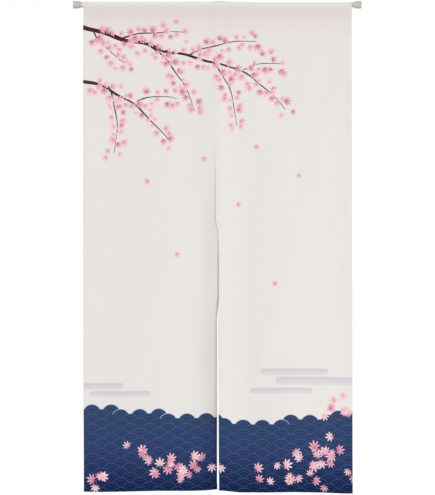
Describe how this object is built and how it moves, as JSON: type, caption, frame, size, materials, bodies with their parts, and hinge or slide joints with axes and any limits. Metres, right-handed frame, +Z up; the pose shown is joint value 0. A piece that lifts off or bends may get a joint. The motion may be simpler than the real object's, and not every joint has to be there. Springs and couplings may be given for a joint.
{
  "type": "noren curtain on a tension rod",
  "caption": "Split doorway curtain: hanging cloth panels, lapped and sewn at the top and open below, with a folded sleeve over a telescoping rod with end caps.",
  "frame": {"origin": "centre of the left cap's outer end face, on the rod's axis", "axes": "+X along the rod from the left cap to the right cap, -Y out of the curtain's front, +Z up"},
  "size_m": [0.884, 0.0295, 1.5103],
  "materials": {
    "cloth": "plain-woven off-white cloth with a printed design",
    "rod": "smooth pale coated steel",
    "cap": "moulded pale grey plastic, satin"
  },
  "bodies": {
    "root": {"left_panel": "cloth", "right_panel": "cloth", "rod_outer_tube": "rod", "rod_inner_tube": "rod", "rod_left_cap": "cap", "rod_right_cap": "cap"}
  },
  "joints": []
}
